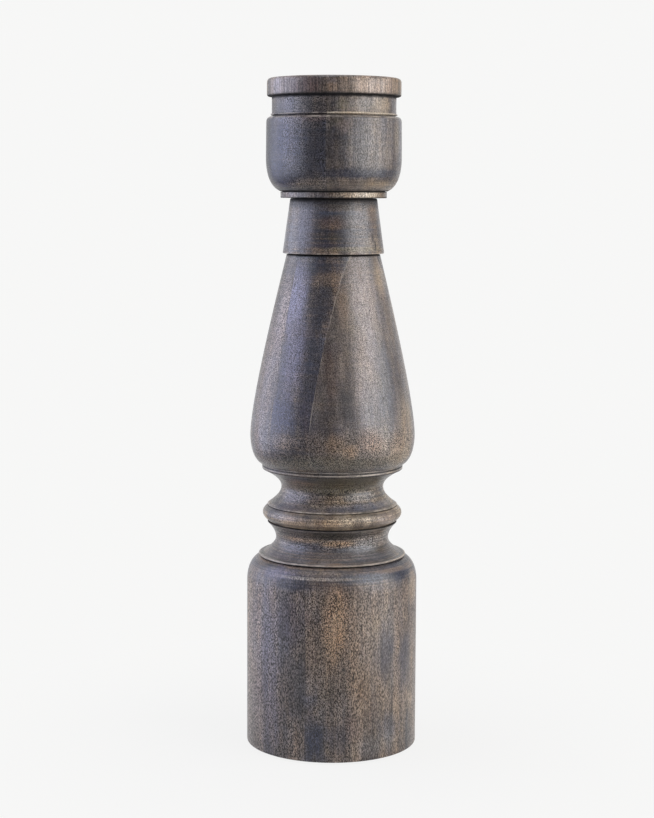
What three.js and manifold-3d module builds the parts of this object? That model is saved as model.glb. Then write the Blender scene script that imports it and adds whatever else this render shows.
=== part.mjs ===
// A turned wooden candle holder for one pillar candle.
// Three glued-up sections and four plain ones are stacked on two hidden dowels,
// over a felt disc, with a loose iron pan inside the rim.
// Lengths are millimetres, +Z is up, and the holder stands on z = 0.
import * as THREE from 'three';
import { mergeVertices } from 'three/addons/utils/BufferGeometryUtils.js';
import Module from 'manifold-3d';

const wasm = await Module();
wasm.setup();

// Facets round a turned piece and round a dowel, and steps along each curve of a profile
const turnFacets = 40;
const dowelFacets = 24;
const curveSteps = 5;

// Clearances
const glueLine = 0.2;
const dowelFit = 0.2;
const dowelEndRoom = 0.6;
const spigotFit = 0.25;
const panFit = 0.8;
const panSeat = 0.2;

// Boards of the glued-up sections, and the way each blank was turned round on the lathe
const boardThickness = 26;
const cupBlankTurn = THREE.MathUtils.degToRad(-6.9);
const vaseBlankTurn = THREE.MathUtils.degToRad(-48);
const baseBlankTurn = THREE.MathUtils.degToRad(-17.9);
const plankSpare = 5;

// Small bevel on turned edges
const arris = 0.5;

// Felt disc under the base
const feltThickness = 1;
const feltInset = 4.6;

// Drum base with its rounded shoulder and the low seat for the spool
const baseHeight = 114.9;
const baseFootRadius = 51.6;
const baseShoulderRadius = 51.5;
const baseShoulderDrop = 15.5;
const baseShoulderFall = 3;
const baseTopRadius = 43.3;
const spoolSeatRadius = 38;
const spoolSeatHeight = 0.3;

// Lower spool: flared lip below, cove above
const lowerSpoolHeight = 20.5;
const lipFootRadius = 44.4;
const lipNoseRadius = 45;
const lipTopRadius = 41.7;
const lipHeight = 1.3;
const lowerWaistRadius = 34;
const lowerWaistHeight = 10.4;
const lowerFlareRise = 5;
const lowerSpoolTopRadius = 39.2;
const lowerFlareDrop = 5.1;

// Upper spool: bead below, a sharp quirk over it, cove above
const upperSpoolHeight = 31.6;
const beadFootRadius = 38.6;
const beadNoseRadius = 45.1;
const beadTopRadius = 39.3;
const beadHeight = 9.3;
const quirkWidth = 0.8;
const quirkDepth = 0.6;
const upperWaistRadius = 30.8;
const upperWaistHeight = 20.9;
const beadFlareRise = 5.6;
const upperSpoolTopRadius = 41.6;
const upperFlareDrop = 5.3;

// Vase: upright fillet, tucked-in belly and long taper, with a low seat for the collar
const vaseHeight = 128.7;
const filletRadius = 42.4;
const filletHeight = 3;
const bellyTuckRadius = 49.1;
const bellyTuckRise = 3.2;
const bellyRadius = 49.6;
const bellyHeight = 20.1;
const bellyRun = 20.6;
const vaseTopRadius = 27.9;
const collarSeatRadius = 23;
const collarSeatHeight = 0.5;

// Tapered collar and the disc over it
const collarHeight = 32.5;
const collarFootRadius = 30.3;
const collarTopRadius = 25.9;
const footRingHeight = 3.7;
const footRingRadius = 31.6;

// Cup with its rounded bottom, eased shoulder and neck band over a groove and a fine bead
const cupHeight = 55.2;
const cupFootRadius = 31.8;
const cupBottomRise = 3.6;
const cupRadius = 40.3;
const cupSwellHeight = 20.1;
const cupShoulderRadius = 40.1;
const cupShoulderHeight = 43.7;
const cupShoulderEase = 3.4;
const neckRadius = 36.8;
const neckGrooveDepth = 1.2;
const neckGrooveWidth = 0.7;
const neckBeadSwell = 0.7;
const neckBeadWidth = 1;

// Rim ring, located on the cup by a low spigot
const rimHeight = 10.7;
const rimRadius = 39.7;
const rimFootEase = 1.3;
const rimTopEase = 2.8;
const rimBoreRadius = 34;
const spigotHeight = 2;

// Sheet-iron pan with a rolled lip
const panHeight = 6.5;
const panSheet = 1;
const panCorner = 3;
const panLip = 0.9;

// Dowels and how far each one goes into the section at its ends
const stemDowelRadius = 12.5;
const stemDepthInBase = 30;
const stemDepthInVase = 30;
const headDowelRadius = 10;
const headDepthInVase = 26;
const headDepthInCup = 24;
const dowelBevel = 1;

// Heights at which the pieces stand, from the floor up
const baseZ = feltThickness;
const lowerSpoolZ = baseZ + baseHeight + spoolSeatHeight + glueLine;
const upperSpoolZ = lowerSpoolZ + lowerSpoolHeight + glueLine;
const vaseZ = upperSpoolZ + upperSpoolHeight + glueLine;
const collarZ = vaseZ + vaseHeight + collarSeatHeight + glueLine;
const footRingZ = collarZ + collarHeight + glueLine;
const cupZ = footRingZ + footRingHeight + glueLine;
const rimZ = cupZ + cupHeight + glueLine;
const panZ = cupZ + cupHeight + spigotHeight + panSeat;

// Bores for the dowels
const stemBoreRadius = stemDowelRadius + dowelFit;
const headBoreRadius = headDowelRadius + dowelFit;

// A body turned about +Z from a profile of radius and height
function turned(profile, facets = turnFacets) {
  const geometry = new THREE.LatheGeometry(profile.getPoints(curveSteps), facets);
  return geometry.rotateX(Math.PI / 2);
}

// A closed solid from a geometry, with shared corners merged and flat slivers at the axis left out
function solidOf(geometry) {
  const bare = geometry.clone();
  bare.deleteAttribute('normal');
  bare.deleteAttribute('uv');
  const merged = mergeVertices(bare, 1e-4);
  const index = merged.index.array;
  const triangles = [];
  for (let i = 0; i < index.length; i += 3) {
    const [a, b, c] = [index[i], index[i + 1], index[i + 2]];
    if (a !== b && b !== c && c !== a) triangles.push(a, b, c);
  }
  return new wasm.Manifold(new wasm.Mesh({
    numProp: 3,
    vertProperties: new Float32Array(merged.attributes.position.array),
    triVerts: new Uint32Array(triangles),
  }));
}

// A geometry from a solid that has been cut
function geometryOf(solid) {
  const mesh = solid.getMesh();
  const geometry = new THREE.BufferGeometry();
  geometry.setAttribute('position', new THREE.BufferAttribute(mesh.vertProperties, 3));
  geometry.setIndex(new THREE.BufferAttribute(mesh.triVerts, 1));
  geometry.computeVertexNormals();
  return geometry;
}

function wood(color) {
  return new THREE.MeshStandardMaterial({ color, roughness: 0.5, metalness: 0 });
}

const holder = new THREE.Group();

function place(name, geometry, material, height) {
  const mesh = new THREE.Mesh(geometry, material);
  mesh.name = name;
  mesh.position.z = height;
  holder.add(mesh);
}

// The boards of a glued-up section: each is what its own plank leaves of the turned form
function placeBoards(name, form, radius, length, turn, colors, height) {
  const solid = solidOf(form);
  const perSide = Math.max(1, Math.round(radius / boardThickness));
  const outside = radius + plankSpare;
  for (let i = -perSide; i < perSide; i++) {
    const low = i === -perSide ? -outside : i * boardThickness + glueLine / 2;
    const high = i === perSide - 1 ? outside : (i + 1) * boardThickness - glueLine / 2;
    const plank = new THREE.BoxGeometry(high - low, 2 * outside, length + 2 * plankSpare);
    plank.translate((low + high) / 2, 0, length / 2);
    plank.rotateZ(turn);
    const number = i + perSide;
    const board = geometryOf(solid.intersect(solidOf(plank)));
    place(`${name}_board_${number + 1}`, board, wood(colors[number % colors.length]), height);
  }
}

// Drum base
const baseProfile = new THREE.Path();
baseProfile.moveTo(0, 0);
baseProfile.lineTo(baseFootRadius - arris, 0);
baseProfile.lineTo(baseFootRadius, arris);
baseProfile.lineTo(baseShoulderRadius, baseHeight - baseShoulderDrop);
baseProfile.quadraticCurveTo(baseShoulderRadius, baseHeight - baseShoulderFall, baseTopRadius, baseHeight);
baseProfile.lineTo(spoolSeatRadius, baseHeight);
baseProfile.lineTo(spoolSeatRadius, baseHeight + spoolSeatHeight);
baseProfile.lineTo(stemBoreRadius, baseHeight + spoolSeatHeight);
baseProfile.lineTo(stemBoreRadius, baseHeight + spoolSeatHeight - stemDepthInBase);
baseProfile.lineTo(0, baseHeight + spoolSeatHeight - stemDepthInBase);
const baseLength = baseHeight + spoolSeatHeight;
const baseColors = [0x54504f, 0x5c4f49, 0x564d4c, 0x4d4a50];
placeBoards('base', turned(baseProfile), baseFootRadius, baseLength, baseBlankTurn, baseColors, baseZ);

// Lower spool
const lowerProfile = new THREE.Path();
const lowerFlareTop = lowerSpoolHeight - arris / 2;
lowerProfile.moveTo(stemBoreRadius, 0);
lowerProfile.lineTo(lipFootRadius, 0);
lowerProfile.quadraticCurveTo(lipNoseRadius, lipHeight, lipTopRadius, lipHeight);
lowerProfile.quadraticCurveTo(lowerWaistRadius, lipHeight + lowerFlareRise, lowerWaistRadius, lowerWaistHeight);
lowerProfile.quadraticCurveTo(lowerWaistRadius, lowerFlareTop - lowerFlareDrop, lowerSpoolTopRadius, lowerFlareTop);
lowerProfile.lineTo(lowerSpoolTopRadius - arris, lowerSpoolHeight);
lowerProfile.lineTo(stemBoreRadius, lowerSpoolHeight);
lowerProfile.lineTo(stemBoreRadius, 0);
place('lower_spool', turned(lowerProfile), wood(0x45424a), lowerSpoolZ);

// Upper spool
const upperProfile = new THREE.Path();
upperProfile.moveTo(stemBoreRadius, 0);
upperProfile.lineTo(beadFootRadius - arris, 0);
upperProfile.lineTo(beadFootRadius, arris);
upperProfile.quadraticCurveTo(beadNoseRadius, (beadHeight + arris) / 2, beadTopRadius, beadHeight);
upperProfile.lineTo(beadTopRadius - quirkDepth, beadHeight + quirkWidth / 2);
upperProfile.lineTo(beadTopRadius, beadHeight + quirkWidth);
upperProfile.quadraticCurveTo(
  upperWaistRadius, beadHeight + quirkWidth + beadFlareRise, upperWaistRadius, upperWaistHeight);
upperProfile.quadraticCurveTo(
  upperWaistRadius, upperSpoolHeight - upperFlareDrop, upperSpoolTopRadius, upperSpoolHeight);
upperProfile.lineTo(stemBoreRadius, upperSpoolHeight);
upperProfile.lineTo(stemBoreRadius, 0);
place('upper_spool', turned(upperProfile), wood(0x403d46), upperSpoolZ);

// Vase
const vaseProfile = new THREE.Path();
vaseProfile.moveTo(0, stemDepthInVase);
vaseProfile.lineTo(stemBoreRadius, stemDepthInVase);
vaseProfile.lineTo(stemBoreRadius, 0);
vaseProfile.lineTo(filletRadius - arris, 0);
vaseProfile.lineTo(filletRadius, arris);
vaseProfile.lineTo(filletRadius, filletHeight);
vaseProfile.quadraticCurveTo(bellyTuckRadius, filletHeight + bellyTuckRise, bellyRadius, bellyHeight);
vaseProfile.quadraticCurveTo(bellyRadius, bellyHeight + bellyRun, vaseTopRadius, vaseHeight);
vaseProfile.lineTo(collarSeatRadius, vaseHeight);
vaseProfile.lineTo(collarSeatRadius, vaseHeight + collarSeatHeight);
vaseProfile.lineTo(headBoreRadius, vaseHeight + collarSeatHeight);
vaseProfile.lineTo(headBoreRadius, vaseHeight + collarSeatHeight - headDepthInVase);
vaseProfile.lineTo(0, vaseHeight + collarSeatHeight - headDepthInVase);
const vaseLength = vaseHeight + collarSeatHeight;
const vaseColors = [0x46444d, 0x42414b, 0x4a464c, 0x52494a];
placeBoards('vase', turned(vaseProfile), bellyRadius, vaseLength, vaseBlankTurn, vaseColors, vaseZ);

// Collar
const collarProfile = new THREE.Path();
collarProfile.moveTo(headBoreRadius, 0);
collarProfile.lineTo(collarFootRadius - arris, 0);
collarProfile.lineTo(collarFootRadius, arris);
collarProfile.lineTo(collarTopRadius, collarHeight - arris);
collarProfile.lineTo(collarTopRadius - arris, collarHeight);
collarProfile.lineTo(headBoreRadius, collarHeight);
collarProfile.lineTo(headBoreRadius, 0);
place('collar', turned(collarProfile), wood(0x45434c), collarZ);

// Disc under the cup
const footRingProfile = new THREE.Path();
footRingProfile.moveTo(headBoreRadius, 0);
footRingProfile.lineTo(footRingRadius - arris, 0);
footRingProfile.lineTo(footRingRadius, arris);
footRingProfile.lineTo(footRingRadius, footRingHeight - arris);
footRingProfile.lineTo(footRingRadius - arris, footRingHeight);
footRingProfile.lineTo(headBoreRadius, footRingHeight);
footRingProfile.lineTo(headBoreRadius, 0);
place('cup_foot_ring', turned(footRingProfile), wood(0x85756d), footRingZ);

// Cup
const spigotRadius = rimBoreRadius - spigotFit;
const neckBeadZ = cupShoulderHeight + neckGrooveWidth;
const cupProfile = new THREE.Path();
cupProfile.moveTo(0, headDepthInCup);
cupProfile.lineTo(headBoreRadius, headDepthInCup);
cupProfile.lineTo(headBoreRadius, 0);
cupProfile.lineTo(cupFootRadius, 0);
cupProfile.quadraticCurveTo(cupRadius, cupBottomRise, cupRadius, cupSwellHeight);
cupProfile.lineTo(cupShoulderRadius, cupShoulderHeight - cupShoulderEase);
cupProfile.quadraticCurveTo(cupShoulderRadius, cupShoulderHeight, neckRadius, cupShoulderHeight);
cupProfile.lineTo(neckRadius - neckGrooveDepth, cupShoulderHeight);
cupProfile.lineTo(neckRadius - neckGrooveDepth, neckBeadZ);
cupProfile.lineTo(neckRadius, neckBeadZ);
cupProfile.lineTo(neckRadius + neckBeadSwell, neckBeadZ + neckBeadWidth / 2);
cupProfile.lineTo(neckRadius, neckBeadZ + neckBeadWidth);
cupProfile.lineTo(neckRadius, cupHeight);
cupProfile.lineTo(spigotRadius, cupHeight);
cupProfile.lineTo(spigotRadius, cupHeight + spigotHeight);
cupProfile.lineTo(0, cupHeight + spigotHeight);
const cupLength = cupHeight + spigotHeight;
const cupColors = [0x524d52, 0x4c4a52, 0x504a4d, 0x56504f];
placeBoards('cup', turned(cupProfile), cupRadius, cupLength, cupBlankTurn, cupColors, cupZ);

// Rim ring
const rimProfile = new THREE.Path();
rimProfile.moveTo(rimBoreRadius, 0);
rimProfile.lineTo(rimRadius - rimFootEase, 0);
rimProfile.quadraticCurveTo(rimRadius, 0, rimRadius, rimFootEase);
rimProfile.lineTo(rimRadius, rimHeight - rimTopEase);
rimProfile.quadraticCurveTo(rimRadius, rimHeight, rimRadius - rimTopEase, rimHeight);
rimProfile.lineTo(rimBoreRadius + arris, rimHeight);
rimProfile.lineTo(rimBoreRadius, rimHeight - arris);
rimProfile.lineTo(rimBoreRadius, 0);
place('rim_ring', turned(rimProfile), wood(0x6b5b55), rimZ);

// Pan
const lipRadius = rimBoreRadius - panFit;
const panOuter = lipRadius - panLip;
const panInner = panOuter - panSheet;
const lipMiddle = panHeight - panLip;
const panProfile = new THREE.Path();
panProfile.moveTo(0, 0);
panProfile.lineTo(panOuter - panCorner, 0);
panProfile.quadraticCurveTo(panOuter, 0, panOuter, panCorner);
panProfile.lineTo(panOuter, lipMiddle - panLip);
panProfile.quadraticCurveTo(lipRadius, lipMiddle - panLip, lipRadius, lipMiddle);
panProfile.quadraticCurveTo(lipRadius, panHeight, panOuter, panHeight);
panProfile.quadraticCurveTo(panInner, panHeight, panInner, lipMiddle);
panProfile.lineTo(panInner, panCorner);
panProfile.quadraticCurveTo(panInner, panSheet, panOuter - panCorner, panSheet);
panProfile.lineTo(0, panSheet);
const iron = new THREE.MeshStandardMaterial({ color: 0x2b2a2b, roughness: 0.5, metalness: 0.9 });
place('candle_pan', turned(panProfile), iron, panZ);

// Dowels
function dowel(radius, length) {
  const profile = new THREE.Path();
  profile.moveTo(0, 0);
  profile.lineTo(radius - dowelBevel, 0);
  profile.lineTo(radius, dowelBevel);
  profile.lineTo(radius, length - dowelBevel);
  profile.lineTo(radius - dowelBevel, length);
  profile.lineTo(0, length);
  return turned(profile, dowelFacets);
}
const beech = new THREE.MeshStandardMaterial({ color: 0xc8a679, roughness: 0.8, metalness: 0 });
const stemLowZ = lowerSpoolZ - glueLine - stemDepthInBase + dowelEndRoom;
const stemHighZ = vaseZ + stemDepthInVase - dowelEndRoom;
place('stem_dowel', dowel(stemDowelRadius, stemHighZ - stemLowZ), beech, stemLowZ);
const headLowZ = collarZ - glueLine - headDepthInVase + dowelEndRoom;
const headHighZ = cupZ + headDepthInCup - dowelEndRoom;
place('head_dowel', dowel(headDowelRadius, headHighZ - headLowZ), beech, headLowZ);

// Felt disc
const feltRadius = baseFootRadius - feltInset;
const feltDisc = new THREE.CylinderGeometry(feltRadius, feltRadius, feltThickness - glueLine, turnFacets);
feltDisc.rotateX(Math.PI / 2);
const felt = new THREE.MeshStandardMaterial({ color: 0x2c2a29, roughness: 1, metalness: 0 });
place('felt_disc', feltDisc, felt, (feltThickness - glueLine) / 2);

export default holder;
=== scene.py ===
from collections import namedtuple
from math import cos, pi, radians, sin

import bmesh
import bpy
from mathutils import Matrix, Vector
from mathutils.geometry import interpolate_bezier


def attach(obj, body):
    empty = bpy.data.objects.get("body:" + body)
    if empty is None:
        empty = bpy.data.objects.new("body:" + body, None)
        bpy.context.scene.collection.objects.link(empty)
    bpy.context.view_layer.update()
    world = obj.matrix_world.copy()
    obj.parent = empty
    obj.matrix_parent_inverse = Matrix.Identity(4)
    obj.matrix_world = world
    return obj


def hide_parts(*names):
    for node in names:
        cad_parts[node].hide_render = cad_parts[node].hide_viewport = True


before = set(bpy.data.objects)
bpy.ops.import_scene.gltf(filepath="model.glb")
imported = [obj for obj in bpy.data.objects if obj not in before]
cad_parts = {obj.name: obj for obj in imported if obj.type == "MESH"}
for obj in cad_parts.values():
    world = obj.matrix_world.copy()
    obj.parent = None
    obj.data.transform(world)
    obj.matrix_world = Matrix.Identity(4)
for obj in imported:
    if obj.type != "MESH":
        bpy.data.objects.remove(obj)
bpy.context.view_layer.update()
scene = bpy.context.scene

MM = 0.001

# Fineness of the turned meshes
TURN_STEPS = 192
CURVE_STEPS = 18
EASE_STEPS = 4
MERGE_DISTANCE = 1e-6
SAW_TOLERANCE = 1e-7
SHARP_EDGE = radians(38)

# Sizes of the turning, in millimetres, as in the solids
GLUE_LINE = 0.2
ARRIS = 0.5

# Boards of base, vase and cup, and the way each blank was turned round on the lathe
BOARD = 26.0
BOARD_COUNT = 4
BASE_TURN = radians(-17.9)
VASE_TURN = radians(-48)
CUP_TURN = radians(-6.9)

# Glue as it is seen: the gap between boards, and the bead that fills the gap over the disc under the cup
HAIRLINE = 0.02
GLUE_BEAD = 0.19
GLUE_BEAD_INNER_RADIUS = 24.0
GLUE_BEAD_OUTER_RADIUS = 30.6

# Dowel holes
STEM_BORE = 12.7
HEAD_BORE = 10.2
STEM_DEPTH = 30.0
HEAD_DEPTH_VASE = 26.0
HEAD_DEPTH_CUP = 24.0

# Felt
FELT = 1.0
FELT_RADIUS = 47.0

# Drum base with its rounded shoulder and the low seat for the spool
BASE_Z = FELT
BASE_HEIGHT = 114.9
BASE_FOOT_RADIUS = 51.6
BASE_RADIUS = 51.5
BASE_SHOULDER_DROP = 15.5
BASE_SHOULDER_FALL = 3.0
BASE_TOP_RADIUS = 43.3
SPOOL_SEAT = 0.3
SPOOL_SEAT_RADIUS = 38.0
BASE_SEAT_TOP = BASE_HEIGHT + SPOOL_SEAT

# Lower spool: flared lip below, cove above
LOWER_Z = BASE_Z + BASE_SEAT_TOP + GLUE_LINE
LOWER_HEIGHT = 20.5
LIP_FOOT_RADIUS = 44.4
LIP_NOSE_RADIUS = 45.0
LIP_TOP_RADIUS = 41.7
LIP_HEIGHT = 1.3
LOWER_WAIST_RADIUS = 34.0
LOWER_WAIST_HEIGHT = 10.4
LOWER_FLARE_RISE = 5.0
LOWER_FLARE_DROP = 5.1
LOWER_TOP_RADIUS = 39.2

# Upper spool: bead below, a sharp quirk over it, cove above
UPPER_Z = LOWER_Z + LOWER_HEIGHT + GLUE_LINE
UPPER_HEIGHT = 31.6
BEAD_FOOT_RADIUS = 38.6
BEAD_NOSE_RADIUS = 45.1
BEAD_TOP_RADIUS = 39.3
BEAD_HEIGHT = 9.3
QUIRK = 0.8
QUIRK_DEPTH = 0.6
UPPER_WAIST_RADIUS = 30.8
UPPER_WAIST_HEIGHT = 20.9
UPPER_FLARE_RISE = 5.6
UPPER_FLARE_DROP = 5.3
UPPER_TOP_RADIUS = 41.6

# Vase: upright fillet, tucked-in belly and long taper, with a low seat for the collar
VASE_Z = UPPER_Z + UPPER_HEIGHT + GLUE_LINE
VASE_HEIGHT = 128.7
FILLET_RADIUS = 42.4
FILLET_HEIGHT = 3.0
BELLY_TUCK_RADIUS = 49.1
BELLY_TUCK_RISE = 3.2
BELLY_RADIUS = 49.6
BELLY_HEIGHT = 20.1
BELLY_RUN = 20.6
VASE_TOP_RADIUS = 27.9
COLLAR_SEAT = 0.5
COLLAR_SEAT_RADIUS = 23.0
VASE_SEAT_TOP = VASE_HEIGHT + COLLAR_SEAT

# Tapered collar and the disc over it
COLLAR_Z = VASE_Z + VASE_SEAT_TOP + GLUE_LINE
COLLAR_HEIGHT = 32.5
COLLAR_FOOT_RADIUS = 30.3
COLLAR_TOP_RADIUS = 25.9
RING_Z = COLLAR_Z + COLLAR_HEIGHT + GLUE_LINE
RING_HEIGHT = 3.7
RING_RADIUS = 31.6

# Cup with its rounded bottom, eased shoulder and neck band over a groove and a fine bead
CUP_Z = RING_Z + RING_HEIGHT + GLUE_LINE
CUP_HEIGHT = 55.2
CUP_FOOT_RADIUS = 31.8
CUP_BOTTOM_RISE = 3.6
CUP_RADIUS = 40.3
CUP_SWELL_HEIGHT = 20.1
SHOULDER_RADIUS = 40.1
SHOULDER_HEIGHT = 43.7
SHOULDER_EASE = 3.4
SHOULDER_TOP_RADIUS = 36.9
NECK_RADIUS = 36.8
GROOVE_RADIUS = 35.6
GROOVE_TOP = SHOULDER_HEIGHT + 0.7
NECK_BEAD_RADIUS = 37.5
NECK_BEAD_HALF = 0.5
SPIGOT = 2.0
SPIGOT_FIT = 0.25

# Rim ring and the sheet-iron pan in it
RIM_Z = CUP_Z + CUP_HEIGHT + GLUE_LINE
RIM_HEIGHT = 10.7
RIM_RADIUS = 39.7
RIM_BORE = 34.0
RIM_FOOT_EASE = 1.3
RIM_TOP_EASE = 2.8
PAN_Z = CUP_Z + CUP_HEIGHT + SPIGOT + GLUE_LINE
PAN_RADIUS = 32.3
PAN_HEIGHT = 6.5
PAN_SHEET = 1.0
PAN_CORNER = 3.0
PAN_LIP = 0.9


class Profile:
    """An outline of radius and height in millimetres, whose corners can be eased round."""

    def __init__(self, radius, height):
        self.points = [Vector((radius, height))]
        self.eases = {}

    def line(self, radius, height, ease=0.0):
        self.points.append(Vector((radius, height)))
        if ease:
            self.eases[len(self.points) - 1] = ease
        return self

    def curve(self, pull_radius, pull_height, radius, height, ease=0.0, steps=CURVE_STEPS):
        start, pull, end = self.points[-1], Vector((pull_radius, pull_height)), Vector((radius, height))
        near, far = start.lerp(pull, 2 / 3), end.lerp(pull, 2 / 3)
        self.points += [p.to_2d() for p in interpolate_bezier(start, near, far, end, steps + 1)[1:]]
        if ease:
            self.eases[len(self.points) - 1] = ease
        return self


def turned(profile, foot, closed=False):
    """A body spun about the axis from a profile that stands at a height."""
    body = bmesh.new()
    corners = [body.verts.new((p.x * MM, 0, (foot + p.y) * MM)) for p in profile.points]
    for one, other in zip(corners, corners[1:]):
        body.edges.new((one, other))
    if closed:
        body.edges.new((corners[-1], corners[0]))
    for ease in sorted(set(profile.eases.values())):
        sharp = [corners[index] for index, amount in profile.eases.items() if amount == ease]
        bmesh.ops.bevel(body, geom=sharp, offset=ease * MM, offset_type="OFFSET", segments=EASE_STEPS,
                        profile=0.5, affect="VERTICES", material=-1)
    bmesh.ops.spin(body, geom=body.verts[:] + body.edges[:], cent=(0, 0, 0), axis=(0, 0, 1), dvec=(0, 0, 0),
                   angle=2 * pi, steps=TURN_STEPS, use_merge=True, use_duplicate=False)
    bmesh.ops.remove_doubles(body, verts=body.verts[:], dist=MERGE_DISTANCE)
    bmesh.ops.recalc_face_normals(body, faces=body.faces[:])
    return body


def saw(body, point, away):
    """Saws off what lies on the far side of a plane and closes the sawn face."""
    cut = bmesh.ops.bisect_plane(body, geom=body.verts[:] + body.edges[:] + body.faces[:], dist=SAW_TOLERANCE,
                                 plane_co=point, plane_no=away, clear_outer=True)
    edges = [e for e in cut["geom_cut"] if isinstance(e, bmesh.types.BMEdge)]
    bmesh.ops.holes_fill(body, edges=edges, sides=0)


def finished(name, body, material, on="stand"):
    """A piece that rides on a body and stands for the CAD node of the same name."""
    mesh = bpy.data.meshes.new(name + "_turned")
    body.to_mesh(mesh)
    body.free()
    mesh.shade_smooth()
    mesh.set_sharp_from_angle(angle=SHARP_EDGE)
    mesh.materials.append(material)
    piece = bpy.data.objects.new(name + "_turned", mesh)
    scene.collection.objects.link(piece)
    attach(piece, on)
    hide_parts(name)
    return piece


def boards(name, body, turn, materials):
    """The boards of a glued-up section, sawn from the turned body along its glue lines."""
    across = Vector((cos(turn), sin(turn), 0))
    for number in range(BOARD_COUNT):
        board = body.copy()
        edge = (number - BOARD_COUNT / 2) * BOARD
        if number > 0:
            saw(board, across * (edge + HAIRLINE / 2) * MM, -across)
        if number < BOARD_COUNT - 1:
            saw(board, across * (edge + BOARD - HAIRLINE / 2) * MM, across)
        finished(f"{name}_board_{number + 1}", board, materials[number])
    body.free()


# Node helpers

def node(tree, kind, inputs=None, **settings):
    made = tree.nodes.new(kind)
    for key, value in settings.items():
        setattr(made, key, value)
    for key, value in (inputs or {}).items():
        socket = made.inputs[key]
        if isinstance(value, bpy.types.NodeSocket):
            tree.links.new(value, socket)
        else:
            socket.default_value = value
    return made


def calc(tree, operation, *values, clamp=False):
    made = node(tree, "ShaderNodeMath", dict(enumerate(values)), operation=operation, use_clamp=clamp)
    return made.outputs[0]


def times(tree, one, other):
    return calc(tree, "MULTIPLY", one, other)


def scaled(tree, value, amount, start, clamp=False):
    """start, raised by the amount for each unit of the value."""
    return calc(tree, "MULTIPLY_ADD", value, amount, start, clamp=clamp)


def swing(tree, value, amount, start):
    """start, raised or lowered by up to half the amount as the value goes from 0 to 1."""
    return scaled(tree, calc(tree, "SUBTRACT", value, 0.5), amount, start)


def distance(tree, value, level):
    """How far a length is from a level in millimetres, to either side."""
    return calc(tree, "ABSOLUTE", calc(tree, "SUBTRACT", value, level * MM))


def mixed(tree, factor, one, other, blend="MIX"):
    made = node(tree, "ShaderNodeMix", {0: factor, 6: one, 7: other}, data_type="RGBA", blend_type=blend)
    return made.outputs[2]


def blended(tree, factor, one, other):
    return node(tree, "ShaderNodeMix", {0: factor, 2: one, 3: other}, data_type="FLOAT").outputs[0]


def remap(tree, value, low, high, to_low=0.0, to_high=1.0, kind="SMOOTHSTEP"):
    made = node(tree, "ShaderNodeMapRange", {"Value": value, "From Min": low, "From Max": high,
                                             "To Min": to_low, "To Max": to_high}, clamp=True)
    made.interpolation_type = kind
    return made.outputs[0]


def ramp(tree, value, stops):
    made = node(tree, "ShaderNodeValToRGB", {0: value})
    colours = made.color_ramp
    colours.interpolation = "EASE"
    while len(colours.elements) < len(stops):
        colours.elements.new(0.5)
    for element, (position, level) in zip(colours.elements, stops):
        element.position = position
        element.color = (level, level, level, 1)
    return made.outputs[0]


def noise(tree, place, scale, detail, roughness, distortion=0.0):
    stretched = node(tree, "ShaderNodeMapping", {"Vector": place, "Scale": scale}).outputs[0]
    made = node(tree, "ShaderNodeTexNoise", {"Vector": stretched, "Scale": 1, "Detail": detail,
                                             "Roughness": roughness, "Distortion": distortion})
    return made.outputs[0]


def length(tree, vector):
    return node(tree, "ShaderNodeVectorMath", {0: vector}, operation="LENGTH").outputs["Value"]


def bumped(tree, shader, height, strength, depth):
    bump = node(tree, "ShaderNodeBump", {"Height": height, "Strength": strength, "Distance": depth})
    tree.links.new(bump.outputs[0], shader["Normal"])


def srgb(red, green, blue):
    def linear(value):
        value /= 255
        return value / 12.92 if value <= 0.04045 else ((value + 0.055) / 1.055) ** 2.4
    return (linear(red), linear(green), linear(blue), 1)


# Effects that the finishes share

def new_group(name, inputs, outputs):
    group = bpy.data.node_groups.new(name, "ShaderNodeTree")
    for socket, kind in inputs.items():
        group.interface.new_socket(socket, in_out="INPUT", socket_type="NodeSocket" + kind)
    for socket, kind in outputs.items():
        group.interface.new_socket(socket, in_out="OUTPUT", socket_type="NodeSocket" + kind)
    return group, group.nodes.new("NodeGroupInput").outputs, group.nodes.new("NodeGroupOutput").inputs


def grain_group():
    """Wood that grew along Z: long streaks, thin threads, short pores, fine flecks and a few pits."""
    group, given, result = new_group("wood_grain", {"Place": "Vector"},
                                     {"Streak": "Float", "Thread": "Float", "Pore": "Float", "Fleck": "Float",
                                      "Rubbed": "Float", "Pit": "Float"})
    place = given["Place"]
    streak = noise(group, place, scale=(150, 150, 12), detail=4, roughness=0.6, distortion=0.3)
    thread = noise(group, place, scale=(1400, 1400, 45), detail=2, roughness=0.6)
    pore = noise(group, place, scale=(1800, 1800, 1400), detail=1, roughness=0.6)
    fleck = noise(group, place, scale=(2000, 2000, 1800), detail=1, roughness=0.6)
    pit = noise(group, place, scale=(420, 420, 420), detail=1, roughness=0.5)
    group.links.new(remap(group, streak, 0.3, 0.7), result["Streak"])
    group.links.new(remap(group, thread, 0.36, 0.64), result["Thread"])
    group.links.new(remap(group, pore, 0.55, 0.66), result["Pore"])
    group.links.new(remap(group, fleck, 0.38, 0.62), result["Fleck"])
    group.links.new(remap(group, pore, 0.46, 0.34), result["Rubbed"])
    group.links.new(remap(group, pit, 0.71, 0.76), result["Pit"])
    return group


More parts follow.
